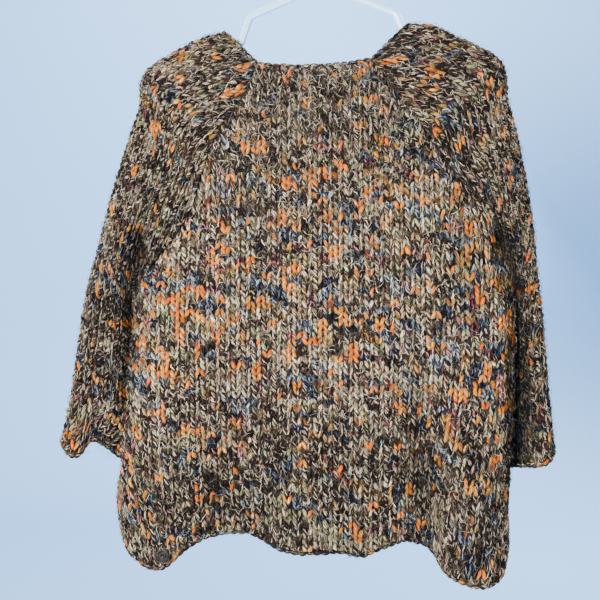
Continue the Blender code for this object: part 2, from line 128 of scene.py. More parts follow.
# Folds that run down to the hem: the top's x and z, the x at the hem, the half width and the rise.
BACK_FOLDS = (
    (-196, -500, -186, 24, 5), (-100, -400, -104, 34, -14), (-62, -330, -70, 22, -4),
    (-6, -450, 2, 46, 6), (84, -400, 112, 21, -19), (146, -380, 172, 27, 13),
)
FRONT_FOLDS = (
    (-150, -380, -165, 28, 8), (-92, -400, -104, 24, -7), (-40, -430, -46, 20, 5),
    (42, -430, 48, 20, 5), (96, -400, 106, 24, -7), (150, -380, 165, 28, 9),
)

# Soft creases over and above the folds: the top's x and z, the foot's x and z, the half width, and how far it
# sinks in, or stands out where that is negative.
BACK_CREASES = (
    (-62, -330, -68, -540, 17, 3.5), (-210, -646, -112, -616, 20, 6), (98, -470, 120, -640, 15, 5),
    (-160, -372, -130, -470, 16, 3), (150, -352, 176, -470, 13, 4), (30, -560, 44, -676, 18, 3),
    (-26, -214, -44, -300, 20, 2.5), (58, -206, 84, -296, 18, 2.5), (-140, -540, -150, -690, 15, -3),
    (197, -340, 212, -430, 8, 10), (211, -440, 212, -640, 6, 16),
    (-211, -395, -215, -500, 8, 12), (-215, -500, -218, -565, 7, 9),
)
FRONT_CREASES = (
    (-120, -380, -150, -560, 16, 4), (118, -372, 150, -540, 17, 4), (-70, -470, -64, -660, 18, 3),
    (74, -500, 66, -670, 16, 3.5), (-52, -260, -84, -330, 15, 2.5), (56, -250, 90, -326, 16, 2.5),
)
SLEEVE_CREASES = {  # on the side that is towards the viewer of the back, and on the other
    ("left", "back"): ((-202, -330, -213, -430, 12, 13), (-214, -420, -217, -552, 12, 14),
                       (-178, -196, -204, -252, 12, 3), (-256, -400, -262, -520, 10, 4)),
    ("left", "front"): ((-214, -330, -240, -470, 13, 6), (-232, -470, -250, -575, 14, 5)),
    ("right", "back"): ((197, -335, 210, -420, 12, 19), (210, -410, 217, -500, 13, 22),
                        (217, -500, 218, -640, 14, 25), (180, -180, 204, -240, 12, 3)),
    ("right", "front"): ((216, -320, 234, -470, 13, 6), (232, -480, 236, -580, 13, 5)),
}
CREASE_TAPER = 0.15  # a crease fades from this share of its length before each end to as far past it
SHADE = 0.8  # painted shade: the share of its brightness that the yarn's colour loses in a deep crease
SHADE_DEPTH = 15.0  # how deep that is
SHADE_WIDTH = 1.5  # how much wider than the crease its painted shade is
FOLD_SHADE = 0.35  # the painted shade of the valleys between folds, as a share of a crease's
YARN_COIL = (-174.5, -699)  # where the end of the yarn is wound up on the hem
OPENING_AT_NECK, OPENING_AT_HEM = 9.0, 24.0  # how wide the front stands open
SLEEVES = {"left": (LEFT_SLEEVE, LEFT_CUFF), "right": (RIGHT_SLEEVE, RIGHT_CUFF)}
SLEEVE_FOOT = len(LEFT_SLEEVE) - 1  # the row of the cuff
BODY_FACES = {-1: (BACK_HEM, BACK_NECK_DIP, BACK_FOLDS, BACK_CREASES),
              1: (FRONT_HEM, FRONT_NECK_DIP, FRONT_FOLDS, FRONT_CREASES)}

# ---- the knitting

WALE = 11.3  # from one column of stitches to the next
COURSE = 6.7  # from one row to the next
WALL = 6.0  # how thick the knitting is
STITCH_BED = 3.5  # the level that stitch heights are taken from, under the cloth's outer face
SHELL_TOP = 3.2  # the shell's outer face, under the cloth's outer face
SHELL_THICKNESS = 2.6
SAMPLES_ACROSS = 241  # points along a course that its arc length is measured with
SAMPLES_DOWN = 400  # levels of a panel that its courses are spaced by

# A leg of a stitch, from its lower end to its upper one: across from the stitch's middle, up from its lower
# course, height over the bed, and the yarn's radius.
STITCH_LEG = (
    (0.1, -3.4, -2.4, 0.0), (0.7, -1.3, 0.2, 1.4), (1.75, 1.9, 2.1, 2.05),
    (3.0, 5.1, 3.1, 2.2), (4.1, 8.2, 1.9, 1.9), (4.7, 11.0, -2.0, 0.0),
)
# The same for a link of the chain along a bound-off edge, which is longer and narrower.
CHAIN_LEG = (
    (0.1, -4.6, -2.0, 0.0), (0.7, -1.6, 0.3, 1.3), (1.5, 2.4, 1.2, 1.75),
    (2.3, 6.4, 1.3, 1.75), (2.8, 10.2, 0.4, 1.5), (2.8, 14.6, -2.0, 0.0),
)
CHAIN_PITCH = 8.6
EDGE_ROLL_RADIUS = 2.9
EDGE_INSET = 2.6  # how far inside the panel's edge the middle of its roll lies
LEG_ROUND_STEPS = 4
LEG_HALF_TURN = math.radians(105)  # how far the yarn's visible round reaches to each side
LEG_FLATTENING = 0.85
LOOSENESS, CHAIN_LOOSENESS = 1.1, 0.8  # how unevenly the stitches are worked
# How far legs stray at a looseness of 1, as spreads: up, across, out, in radius (as a share), and in lean.
STRAY_UP, STRAY_ACROSS, STRAY_OUT, STRAY_RADIUS, STRAY_LEAN = 0.35, 0.25, 0.32, 0.10, 0.05
THINNEST, THICKEST = 0.75, 1.3
LONGEST_LEG = 1.15  # the reach that a leg keeps where the cloth is stretched, over the usual one
EXPOSED_FROM, EXPOSED_TO = 0.8, 4.2  # heights on the yarn between which painted shade, low on a leg between its neighbours, gives way to its colour
EDGE_ROUND_RADIUS = 3.0
CHAIN_TURN = math.radians(50)  # how far round the edge the chain lies, towards the outer face
CHAIN_LIGHT, CHAIN_DARK_YARN = 0.8, 0.45
CHAIN_SUNK = 0.9  # how deep its links lie in the roll
YARN_SPREAD = 40  # the length of yarn that the legs' own beginnings are spread over

# Yarn colours as they lie along the yarn: share of the whole, the most legs that a stretch covers, and its
# dark strands, light strands and flecks, in display values from 0 to 255.
YARN_COLOURS = (
    (0.00, 3, (22, 14, 9), (84, 60, 48), (250, 222, 188)),
    (0.12, 4, (100, 78, 58), (250, 220, 174), (255, 242, 208)),
    (0.12, 4, (60, 47, 33), (184, 158, 120), (250, 226, 180)),
    (0.15, 3, (36, 26, 21), (130, 100, 83), (248, 218, 176)),
    (0.18, 2, (230, 108, 18), (255, 164, 44), (255, 198, 116)),
    (0.07, 3, (160, 94, 42), (255, 190, 104), (255, 220, 160)),
    (0.05, 3, (62, 35, 17), (204, 142, 82), (250, 220, 158)),
    (0.13, 3, (10, 11, 20), (52, 60, 82), (148, 156, 168)),
    (0.06, 3, (42, 46, 52), (128, 136, 142), (226, 226, 218)),
    (0.06, 2, (40, 14, 22), (124, 68, 78), (222, 160, 146)),
    (0.04, 3, (66, 60, 40), (212, 200, 144), (246, 232, 182)),
    (0.02, 2, (110, 54, 48), (234, 156, 132), (252, 206, 178)),
)
ORANGE = 4  # the row of the colour that the painted shade below leaves mostly bright
ORANGE_SHADE_DIMMING = 0.4
CARRIED_ON = 0.22  # how often a stretch takes its colour from the course above
TINT = {"dark_strand": 0.2, "light_strand": 0.07, "fleck": 0.07}  # how far a leg's own tint strays
TONE = 0.2  # how far its brightness strays
# How much of the darkest yarn there is, from a panel's top (0) to its foot (1). It rises on the yoke, near the hem
# and on the sleeves as painted shade, and the other yarn is dimmed with it.
DARK_YARN_AND_SHADE = {
    "body": ((0, 0.42), (0.2, 0.39), (0.4, 0.13), (0.68, 0.12), (0.82, 0.42), (1, 0.47)),
    "sleeve": ((0, 0.43), (0.3, 0.42), (0.55, 0.54), (1, 0.48)),
}
SHADE_DIMMING = 0.86  # painted shade: how much darker the other yarn is made among nothing but the darkest

TUBE_SIDES = 7
COIL_TURNS, COIL_POINTS, COIL_START, COIL_GROWTH, COIL_YARN = 2.6, 52, 1.0, 6.8, 1.2
COIL_HEIGHT, COIL_WAVE, COIL_WAVES = 3.0, 0.5, 0.7

# Loose fibres: thin bent strips on the cloth, and along its edges. The pairs are the least and the most, and
# the rolls are in half turns.
FUZZ_STEPS = 4
FUZZ_WIDTH = 0.38
FUZZ_COLOURS = ((53, 42, 35), (226, 211, 181))
LIGHT_FUZZ = 0.25  # the share of light fibres
DARK_SHARES, LIGHT_SHARES = (0, 0.2), (0.35, 1)  # how light the dark fibres and the light ones are
FUZZ_BEND, FUZZ_TAPER = 0.8, 0.75
FUZZ_ARCHES = (0.5, 1.0)  # how much of a half wave a fibre rises in
FUZZ_MARGINS = (0.3, 1.3)  # in courses, at a panel's top and foot
FUZZ_LENGTHS, FUZZ_RISES, FUZZ_ROLLS = (5, 14), (0.6, 5.0), (-0.5, 0.5)
EDGE_FUZZ_LENGTHS, EDGE_FUZZ_REACHES = (4, 13), (0.5, 4.5)
FUZZ_ROOT = 0.6  # how far in the yarn a fibre starts
EDGE_FUZZ_SPACING = 1.5


def curve(places, values, positions):
    """A smooth curve through values, or rows of them, at their places, read at other positions."""
    slopes = np.gradient(values, places, axis=0)
    start = np.clip(np.searchsorted(places, positions, side="right") - 1, 0, len(places) - 2)
    width = places[start + 1] - places[start]
    step = (positions - places[start]) / width
    if values.ndim > 1:
        step, width = step[:, None], width[:, None]
    square, cube = step**2, step**3
    return (
        (2 * cube - 3 * square + 1) * values[start]
        + (cube - 2 * square + step) * (width * slopes[start])
        + (3 * square - 2 * cube) * values[start + 1]
        + (cube - square) * (width * slopes[start + 1])
    )


def along(table, stations):
    """A table's rows, read at fractional row numbers."""
    return curve(np.arange(len(table)), np.array(table, float), stations)


def across(table, positions):
    """A smooth height through the (position, height) points of a table."""
    places, heights = np.array(table, float).T
    return curve(places, heights, np.clip(positions, places[0], places[-1]))


def smooth_step(value):
    value = np.clip(value, 0, 1)
    return value * value * (3 - 2 * value)


def unit(vectors):
    return vectors / np.maximum(np.linalg.norm(vectors, axis=-1, keepdims=True), 1e-9)


def lengths_along(points):
    """How far along its line each point lies, for one line or for rows of them."""
    steps = np.linalg.norm(np.diff(points, axis=-2), axis=-1)
    return np.concatenate([np.zeros_like(steps[..., :1]), np.cumsum(steps, axis=-1)], axis=-1)


def read_at(places, lengths, values):
    """A line's values, which are a row for each of its lengths, at other places along it."""
    return np.stack([np.interp(places, lengths, column) for column in values.T], axis=-1)


def edge_exponent(reach, depth):
    """The superellipse exponent that gives a fold of FOLDED_EDGE_RADIUS at the edge of a section."""
    return np.clip(2 * reach * FOLDED_EDGE_RADIUS / np.maximum(depth, 1) ** 2, 2, 12)


def arch(distance, exponent):
    """A superellipse's height, 1 at the middle (0) and 0 at the edge (1)."""
    return np.sqrt(np.clip(1 - np.abs(distance) ** exponent, 0, 1))


def fold_relief(folds, x, z):
    """How far the folds stand out of the body at a point."""
    relief = np.zeros_like(x)
    for top_x, top_z, hem_x, half_width, rise in folds:
        progress = (top_z - z) / (top_z - HEM_LEVEL)
        centre = top_x + (hem_x - top_x) * np.maximum(progress, 0)
        relief += rise * smooth_step(progress) * np.exp(-(((x - centre) / half_width) ** 2))
    return relief


def crease_depth(creases, x, z, wider=1.0):
    """How far the creases sink into the cloth at a point."""
    sunk = np.zeros_like(x)
    for top_x, top_z, foot_x, foot_z, half_width, depth in creases:
        run_x, run_z = foot_x - top_x, foot_z - top_z
        length = math.hypot(run_x, run_z)
        progress = ((x - top_x) * run_x + (z - top_z) * run_z) / length**2
        distance = ((x - top_x) * run_z - (z - top_z) * run_x) / length
        fades = [smooth_step((part + CREASE_TAPER) / (2 * CREASE_TAPER)) for part in (progress, 1 - progress)]
        sunk += depth * fades[0] * fades[1] * np.exp(-((distance / (half_width * wider)) ** 2))
    return sunk


def sleeve_surface(hand, stations, angles):
    """Points round a sleeve at fractional rows of its table, by the angle from its back raglan seam."""
    table, cuff = SLEEVES[hand]
    rows = along(table, stations)
    outer, inner = rows[:, None, 0:3], rows[:, None, 3:6]
    seam, back, front, fullest = rows.T[6:, :, None]
    seam = np.where(stations[:, None] >= UNDERARM, 0, np.maximum(seam, 0))
    fullest = np.clip(fullest, LEAST_FULLEST, 1)
    place = (1 + np.cos(angles)) / 2
    is_back = angles < math.pi
    depth = np.where(is_back, back, front)
    reach = np.linalg.norm(inner - outer, axis=2)
    towards_outer = np.clip((fullest - place) / fullest, 0, 1)
    towards_inner = np.clip((place - fullest) / np.maximum(1 - fullest, 1e-6), 0, 1)
    outer_part = depth * arch(towards_outer, edge_exponent(fullest * reach, depth))
    inner_part = seam + (depth - seam) * arch(towards_inner, edge_exponent((1 - fullest) * reach, depth))
    offset = np.where(place <= fullest, outer_part, inner_part)
    points = outer + (inner - outer) * place[:, :, None]
    points[:, :, 1] += np.where(is_back, -offset, offset)
    run = along(table, np.minimum(stations + ROW_STEP, SLEEVE_FOOT)) - along(table, stations - ROW_STEP)
    down = unit(run[:, 0:3] + run[:, 3:6])[:, None, :]
    drop = across(cuff, np.degrees(angles))[:, :, None]
    weight = smooth_step((stations - CUFF_WAVE_START) / (SLEEVE_FOOT - CUFF_WAVE_START))[:, None, None]
    points = points + down * drop * weight
    for side, facing in (("back", 1), ("front", -1)):
        lean = np.sqrt(np.clip(facing * np.sin(angles), 0, 1))
        points[:, :, 1] += facing * lean * crease_depth(SLEEVE_CREASES[hand, side], points[:, :, 0], points[:, :, 2])
    return points


def lower_rows(levels):
    """The body's sizes below the underarm, at levels from there (1) to the hem (2)."""
    return along(LOWER, np.clip(levels - 1, 0, 1) * (len(LOWER) - 1)).T


def body_sides(levels):
    """The body's edges at levels from the neck (0) over the underarm (1) to the hem (2)."""
    sides = []
    for table, lower_x in zip((LEFT_SLEEVE, RIGHT_SLEEVE), lower_rows(levels)):
        inner_x, inner_y, inner_z, seam = along(table, np.minimum(levels, 1) * UNDERARM).T[3:7]
        seam = np.where(levels >= 1, 0, np.abs(inner_y - np.maximum(seam, 0)))
        sides.append([side[:, None] for side in (np.where(levels > 1, lower_x, inner_x), inner_z, seam)])
    return sides


def body_surface(side, levels, places):
    """The outside of the body, back (side -1) or front (side 1)."""
    hem, neck_dip, folds, creases = BODY_FACES[side]
    (left_x, left_z, left_depth), (right_x, right_z, right_depth) = body_sides(levels)
    x = left_x + (right_x - left_x) * places
    progress = np.clip(levels - 1, 0, 1)[:, None]
    level = left_z + (right_z - left_z) * places
    wave = (across(hem, x) - HEM_LEVEL) * progress**HEM_WAVE_POWER
    z = level + (HEM_LEVEL - level) * progress + wave
    from_middle = np.abs(2 * places - 1)
    dips = neck_dip * np.clip(1 - levels, 0, 1)[:, None] ** DIP_FADE_POWER
    z = z - dips * (1 - from_middle**NECK_CURVE_POWER)
    seam_depth = left_depth + (right_depth - left_depth) * places
    *yoke, roundness = along(YOKE, np.minimum(levels, 1) * UNDERARM).T
    face = 0 if side < 0 else 1
    middle = np.where(levels > 1, lower_rows(levels)[2 + face], yoke[face])[:, None]
    roundness = np.where(levels > 1, ROUND_EDGE, np.clip(roundness, ROUND_EDGE, 1))[:, None]
    edge = edge_exponent((right_x - left_x) / 2, middle)
    flatness = YOKE_FLATNESS + (edge - YOKE_FLATNESS) * (1 - roundness) / (1 - ROUND_EDGE)
    depth = seam_depth + (middle - seam_depth) * np.clip(1 - from_middle**flatness, 0, 1) ** roundness
    relief = fold_relief(folds, x, z) - crease_depth(creases, x, z)
    depth = depth + relief * (1 - from_middle**FOLD_EDGE_POWER)
    return np.stack([x, side * depth, z], axis=2)


def front_edge(levels):
    """Where the two fronts' opening edges lie, as places from the left seam (0) to the right one (1)."""
    (left_x, _, _), (right_x, _, _) = body_sides(levels)
    half_gap = (OPENING_AT_NECK + (OPENING_AT_HEM - OPENING_AT_NECK) * levels[:, None] / 2) / 2
    return [(hand * half_gap - left_x) / (right_x - left_x) for hand in (-1, 1)]


# ---- panels as charts of courses and wales


def kind_of(name):
    return "sleeve" if name.startswith("sleeve") else "body"


def panel_surface(name, levels, even):
    """A panel's outside at levels down it and at even steps (0 to 1) across it."""
    eased = np.broadcast_to(even, (len(levels), len(even)))
    if kind_of(name) == "sleeve":
        return sleeve_surface(name.split("_")[1], levels * SLEEVE_FOOT, 2 * math.pi * eased)
    if name == "back":
        rounded = (1 - np.cos(math.pi * eased)) / 2
        return body_surface(-1, 2 * levels, (eased + rounded) / 2)
    easing = (eased + 1 - np.cos(math.pi / 2 * eased)) / 2
    left_edge, right_edge = front_edge(2 * levels)
    places = left_edge * easing if name == "front_left" else 1 - (1 - right_edge) * easing[:, ::-1]
    return body_surface(1, 2 * levels, places)


ROUND_SLEEVE = np.linspace(0.1, 0.9, 17)
# Each panel: which side of its net faces out, where across it its courses are measured (round a sleeve, their
# mean is taken), its shell's columns, its loose fibres, and its cut's width, length and area in metres.
PANELS = {
    "back": (-1, [0.5], 72, 15500, (0.52, 0.58, 0.205)),
    "front_left": (1, [0.6], 36, 4000, (0.26, 0.52, 0.093)),
    "front_right": (1, [0.4], 36, 4000, (0.26, 0.52, 0.095)),
    "sleeve_left": (1, ROUND_SLEEVE, 44, 6600, (0.27, 0.53, 0.098)),
    "sleeve_right": (-1, ROUND_SLEEVE, 44, 6600, (0.27, 0.53, 0.098)),
}
# Each raglan seam: the body panel and its edge, the sleeve and its edge.
SEAMS = (("back", 0, "sleeve_left", 0), ("back", -1, "sleeve_right", 0),
         ("front_left", 0, "sleeve_left", -1), ("front_right", -1, "sleeve_right", -1))
UNDERARM_LEVEL = {"body": 0.5, "sleeve": UNDERARM / SLEEVE_FOOT}
SEAM_STEPS, SEAM_SAMPLES = 90, 121  # points along a seam, and across a panel at each
SEAM_BLEND = 9.0  # how far from a raglan seam a panel's directions turn towards the seam's own


def own_directions(name, points, levels):
    """The way out of a panel at each of its points, from the panel alone."""
    step_across = np.gradient(points, axis=1)
    if kind_of(name) == "sleeve":
        ring = levels >= UNDERARM_LEVEL["sleeve"]
        closing = (points[:, 1] - points[:, -2]) / 2
        step_across[ring, 0] = step_across[ring, -1] = closing[ring]
    return unit(PANELS[name][0] * np.cross(step_across, np.gradient(points, axis=0)))


def seam_directions():
    """For each panel's raglan edge, the directions that both sides of the seam share, neck to underarm."""
    edges = {}
    for name in PANELS:
        levels = np.linspace(0, 1, SEAM_STEPS) * UNDERARM_LEVEL[kind_of(name)]
        out = own_directions(name, panel_surface(name, levels, np.linspace(0, 1, SEAM_SAMPLES)), levels)
        edges[name, 0], edges[name, -1] = out[:, 0], out[:, -1]
    shared = {}
    for panel, column, sleeve, sleeve_column in SEAMS:
        both = unit(edges[panel, column] + edges[sleeve, sleeve_column])
        shared[panel, column] = shared[sleeve, sleeve_column] = both
    return shared


SEAM_DIRECTIONS = seam_directions()


def directions_out(name, points, levels):
    """The way out of a panel at each of its points, the same on both sides of every raglan seam."""
    out = own_directions(name, points, levels)
    underarm = UNDERARM_LEVEL[kind_of(name)]
    for (panel, column), shared in SEAM_DIRECTIONS.items():
        if panel == name:
            at = read_at(levels, np.linspace(0, underarm, SEAM_STEPS), shared)[:, None]
            distance = np.linalg.norm(points - points[:, column][:, None], axis=2)
            weight = np.exp(-((distance / SEAM_BLEND) ** 2)) * (levels <= underarm)[:, None]
            out = unit(out + (at - out) * weight[:, :, None])
    return out


def course_levels(name):
    """Levels down a panel that lie one course apart along its middle."""
    fine = np.linspace(0, 1, SAMPLES_DOWN)
    length = lengths_along(panel_surface(name, fine, np.array(PANELS[name][1])).mean(axis=1))
    courses = round(length[-1] / COURSE)
    return np.interp(np.linspace(0, length[-1], courses + 1), length, fine)


class Chart:
    """A panel's courses, each with its points and outward directions by wale number.

    Wale 0 is the line that the knitting is set out from: the middle of the back, the opening edge of a
    front, and the outer line of a sleeve."""

    def __init__(self, name):
        self.name = name
        self.levels = course_levels(name)
        self.points = points = panel_surface(name, self.levels, np.linspace(0, 1, SAMPLES_ACROSS))
        self.out = out = directions_out(name, points, self.levels)
        lengths = lengths_along(points)
        if name == "back":
            start = np.array([np.interp(0, row[:, 0], length) for row, length in zip(points, lengths)])
        else:
            start = lengths[:, {"front_left": -1, "front_right": 0}.get(name, SAMPLES_ACROSS // 2)]
        wales = (lengths - start[:, None]) / WALE
        self.first, self.last = wales[:, 0], wales[:, -1]
        self.low = math.floor(self.first.min()) - 1
        count = 2 * (math.ceil(self.last.max()) + 1 - self.low) + 1
        self.grid_wales = self.low + np.arange(count) / 2
        both = np.concatenate([points, out], axis=2)
        self.grid = np.array([read_at(self.grid_wales, *row) for row in zip(wales, both)])

    def edges(self):
        """Each bound-off edge: its name, the outer face's points, the way out there and the way off the cloth."""
        down = unit(np.gradient(self.points, axis=0))
        found = [("lower", self.points[-1], self.out[-1], down[-1]), ("neck", self.points[0], self.out[0], -down[0])]
        if self.name.startswith("front"):
            column = -1 if self.name == "front_left" else 0
            away = unit(np.gradient(self.points, axis=1))[:, column] * (1 if column else -1)
            found.append(("opening", self.points[:, column], self.out[:, column], away))
        return found

    def place(self, wale, course, height):
        """Points of the cloth at wales and courses, raised by a height over the outer face."""
        column = np.clip((wale - self.low) * 2, 0, self.grid.shape[1] - 1.001)
        row = np.clip(course, 0, self.grid.shape[0] - 1.001)
        left, above = column.astype(int), row.astype(int)
        right_share, below_share = (column - left)[..., None], (row - above)[..., None]
        top, bottom = (self.grid[line, left] * (1 - right_share) + self.grid[line, left + 1] * right_share
                       for line in (above, above + 1))
        mixed = top * (1 - below_share) + bottom * below_share
        return mixed[..., :3] + unit(mixed[..., 3:]) * np.asarray(height)[..., None]

    def stitches(self):
        """Each stitch's middle wale, its width in wales, and its course."""
        found = []
        for course in range(len(self.levels) - 1):
            first = (self.first[course] + self.first[course + 1]) / 2
            last = (self.last[course] + self.last[course + 1]) / 2
            lines = list(range(math.ceil(first + 1), math.floor(last - 1) + 1))
            if not lines:
                continue
            for edge, line in ((first, lines[0]), (last, lines[-1])):
                gap = line - edge
                parts = 1 if abs(gap) < 1.5 else 2
                found += [(edge + gap * (part + 0.5) / parts, abs(gap) / parts, course) for part in range(parts)]
            found += [(line + 0.5, 1.0, course) for line in lines[:-1]]
        return np.array(sorted(found, key=lambda stitch: (stitch[2], stitch[0])))


# ---- yarn


def linear(colour):
    """A display colour (0 to 255) as linear light."""
    value = np.array(colour, float) / 255
    return np.where(value <= 0.04045, value / 12.92, ((value + 0.055) / 1.055) ** 2.4)


def yarn_colours(rng, courses, darkness):
    """A yarn colour number for each leg, in stretches along the courses, some of them carried on from above.

    courses holds the number of legs in each course, and darkness the darkest yarn's share there."""
    shares = np.array([row[0] for row in YARN_COLOURS])
    shares = shares / shares.sum()
    numbers = []
    for count, dark in zip(courses, darkness):
        row = np.empty(count, int)
        start = 0
        while start < count:
            if numbers and rng.random() < CARRIED_ON:
                above = numbers[-1]
                pick = above[min(int(start * len(above) / count), len(above) - 1)]
            elif rng.random() < dark:
                pick = 0
            else:
                pick = rng.choice(len(YARN_COLOURS), p=shares)
            length = int(rng.integers(1, YARN_COLOURS[pick][1] + 1))
            row[start:start + length] = pick
            start += length
        numbers.append(row)
    return np.concatenate(numbers)


def leg_pattern():
    """One leg's net: its points as (station, turn), and its faces."""
    body = bmesh.new()
    last = len(STITCH_LEG) - 1
    bmesh.ops.create_grid(body, x_segments=last, y_segments=LEG_ROUND_STEPS, size=1)
    for end in (-1, 1):
        tip = [vert for vert in body.verts if abs(vert.co.x - end) < 1e-5]
        bmesh.ops.pointmerge(body, verts=tip, merge_co=Vector((end, 0, 0)))
    body.verts.index_update()
    points = np.array([vert.co[:2] for vert in body.verts])
    faces = [[vert.index for vert in face.verts] for face in body.faces]
    body.free()
    return np.round((points[:, 0] + 1) / 2 * last).astype(int), points[:, 1], faces


def leg_shapes(path, hands, rng, looseness):
    """The points of many legs (across, up, height), where they are on the yarn (along, around), and how far painted
    shade between neighbouring legs leaves their colour.

    hands is -1 or 1 for each leg: on which side of its stitch it lies."""
    stations, turns, _ = leg_pattern()
    path = np.array(path, float)

    def stray(spread, middle=0):
        return rng.normal(middle, spread * looseness, (len(hands), 1))

    lines = np.repeat(path[None, :, :], len(hands), axis=0)
    lines[:, :, 1] += stray(STRAY_UP)
    lines[:, :, 0] += stray(STRAY_ACROSS)
    lines[:, :, 2] += stray(STRAY_OUT) * (lines[:, :, 3] > 0)
    lines[:, :, 3] *= np.clip(stray(STRAY_RADIUS, 1), THINNEST, THICKEST)
    middle = lines[:, 2:3, 1] / 2 + lines[:, 3:4, 1] / 2
    lines[:, :, 0] += (lines[:, :, 1] - middle) * stray(STRAY_LEAN)
    lines[:, :, 0] *= hands[:, None]
    tangent = np.gradient(lines[:, :, :2], axis=1)
    tangent /= np.linalg.norm(tangent, axis=2, keepdims=True)
    side = np.stack([tangent[:, :, 1], -tangent[:, :, 0]], axis=2)
    angle = turns * LEG_HALF_TURN
    radius = lines[:, stations, 3]
    shape = lines[:, stations, :3].copy()
    shape[:, :, :2] += side[:, stations] * (radius * np.sin(angle))[:, :, None]
    shape[:, :, 2] += radius * np.cos(angle) * LEG_FLATTENING
    # Painted shade: a leg's low and side parts, deep between its neighbours, are darkened in its colour.
    rise = path[stations, 2] + path[stations, 3] * np.cos(angle)
    exposed = smooth_step((rise - EXPOSED_FROM) / (EXPOSED_TO - EXPOSED_FROM))
    return shape, np.stack([lengths_along(path[:, :3])[stations], angle / (2 * math.pi), exposed], axis=1)


def stand(name, data):
    """A new object in the scene for a mesh, a light or the camera."""
    made = bpy.data.objects.new(name, data)
    bpy.context.scene.collection.objects.link(made)
    return made


def faces_object(name, points, faces, material, flat=False):
    """A piece of many small nets: their points in millimetres, and each face's points by number."""
    mesh = bpy.data.meshes.new(name)
    mesh.from_pydata((points.reshape(-1, 3) * MM).tolist(), [], faces, shade_flat=flat)
    mesh.materials.append(material)
    return stand(name, mesh)


def body_object(name, body, *materials):
    """A piece of a finished bmesh, smoothly shaded."""
    for face in body.faces:
        face.smooth = True
    mesh = bpy.data.meshes.new(name)
    body.to_mesh(mesh)
    body.free()
    for material in materials:
        mesh.materials.append(material)
    return stand(name, mesh)


def net(points, stitch=None):
    """A bmesh net on points (rows, columns, 3) in millimetres, and its corners by row and column.

    stitch holds each corner's wale and course, where the net needs them."""
    rows, columns = points.shape[0] - 1, points.shape[1] - 1
    body = bmesh.new()
    bmesh.ops.create_grid(body, x_segments=columns, y_segments=rows, size=1)
    layer = None if stitch is None else body.verts.layers.float_vector.new("stitch")
    corners = {}
    for vert in body.verts:
        row, column = round((1 - vert.co.y) / 2 * rows), round((vert.co.x + 1) / 2 * columns)
        vert.co = Vector(points[row, column] * MM)
        if layer is not None:
            vert[layer] = Vector(stitch[row, column])
        corners[row, column] = vert
    return body, corners


def paint(piece, layer, colours):
    """Give each of a piece's legs or strips its own colour, in a colour layer of their points."""
    points = np.ones((len(colours), len(piece.data.vertices) // len(colours), 4))
    points[:, :, :3] = colours[:, None, :]
    piece.data.attributes.new(layer, "FLOAT_COLOR", "POINT").data.foreach_set("color", points.ravel())


def stitch_object(name, points, where, numbers, lit, rng, material):
    """One piece of many legs. points is (legs, points of a leg, 3), in millimetres."""
    legs, size = points.shape[:2]
    faces = []
    for face in leg_pattern()[2]:
        faces += (np.arange(legs)[:, None] * size + np.array(face)).tolist()
    piece = faces_object(name, points, faces, material)
    yarn = np.empty((legs, size, 3))
    yarn[:, :, 0] = where[None, :, 0] + rng.random((legs, 1)) * YARN_SPREAD
    yarn[:, :, 1] = where[None, :, 1]
    yarn[:, :, 2] = rng.random((legs, 1))
    layers = piece.data.attributes
    layers.new("yarn", "FLOAT_VECTOR", "POINT").data.foreach_set("vector", yarn.ravel())
    layers.new("exposed", "FLOAT", "POINT").data.foreach_set("value", np.tile(where[:, 2], legs))
    for layer, field in (("dark_strand", 2), ("light_strand", 3), ("fleck", 4)):
        table = np.array([linear(row[field]) for row in YARN_COLOURS])
        # lit is painted light: each leg's colours are darkened by it where shade is painted.
        shade = np.exp(rng.normal(0, TONE, (legs, 1)) + rng.normal(0, TINT[layer], (legs, 3))) * lit[:, None]
        paint(piece, layer, table[numbers] * shade)
    return piece


def painted_crease_light(name, wales, places):
    """The share of its brightness that the yarn's colour keeps at these wales and places, as painted shade: little
    in a deep crease or in a valley between folds.
    """
    x, z = places[:, 0], places[:, 2]
    if kind_of(name) == "body":
        folds, creases = BODY_FACES[PANELS[name][0]][2:]
        depth = crease_depth(creases, x, z, SHADE_WIDTH) - FOLD_SHADE * fold_relief(folds, x, z)
    else:
        hand = name.split("_")[1]
        back, front = (crease_depth(SLEEVE_CREASES[hand, side], x, z, SHADE_WIDTH) for side in ("back", "front"))
        depth = np.where(wales < 0, back, front)
    return 1 - SHADE * smooth_step(depth / SHADE_DEPTH)


def knit(chart, material, seed):
    """The stitches of a panel."""
    rng = np.random.default_rng(seed)
    stitches = chart.stitches()
    hands = np.tile([-1.0, 1.0], len(stitches))
    middles, widths, courses = np.repeat(stitches, 2, axis=0).T
    shape, where = leg_shapes(STITCH_LEG, hands, rng, LOOSENESS)
    wale = middles[:, None] + shape[:, :, 0] / WALE * widths[:, None]
    course = courses[:, None] + 1 - shape[:, :, 1] / COURSE
    points = chart.place(wale, course, shape[:, :, 2] - STITCH_BED)
    centre = points.mean(axis=1)
    span = np.linalg.norm(points.max(axis=1) - points.min(axis=1), axis=1)
    shorter = np.minimum(1, LONGEST_LEG * np.median(span) / span)[:, None, None]
    points = centre[:, None] + (points - centre[:, None]) * shorter
    present, per_course = np.unique(courses, return_counts=True)
    darkness = np.interp(chart.levels[present.astype(int)], *np.array(DARK_YARN_AND_SHADE[kind_of(chart.name)]).T)
    numbers = yarn_colours(rng, per_course, darkness)
    # Painted shade: the yarn is dimmed where the darkest yarn is common, and darkened in creases and fold valleys.
    painted_dimming = SHADE_DIMMING * np.repeat(darkness, per_course) * np.where(numbers == ORANGE, ORANGE_SHADE_DIMMING, 1)
    lit = painted_crease_light(chart.name, middles, centre) * (1 - painted_dimming)
    return stitch_object(chart.name + "_stitches", points, where, numbers, lit, rng, material)


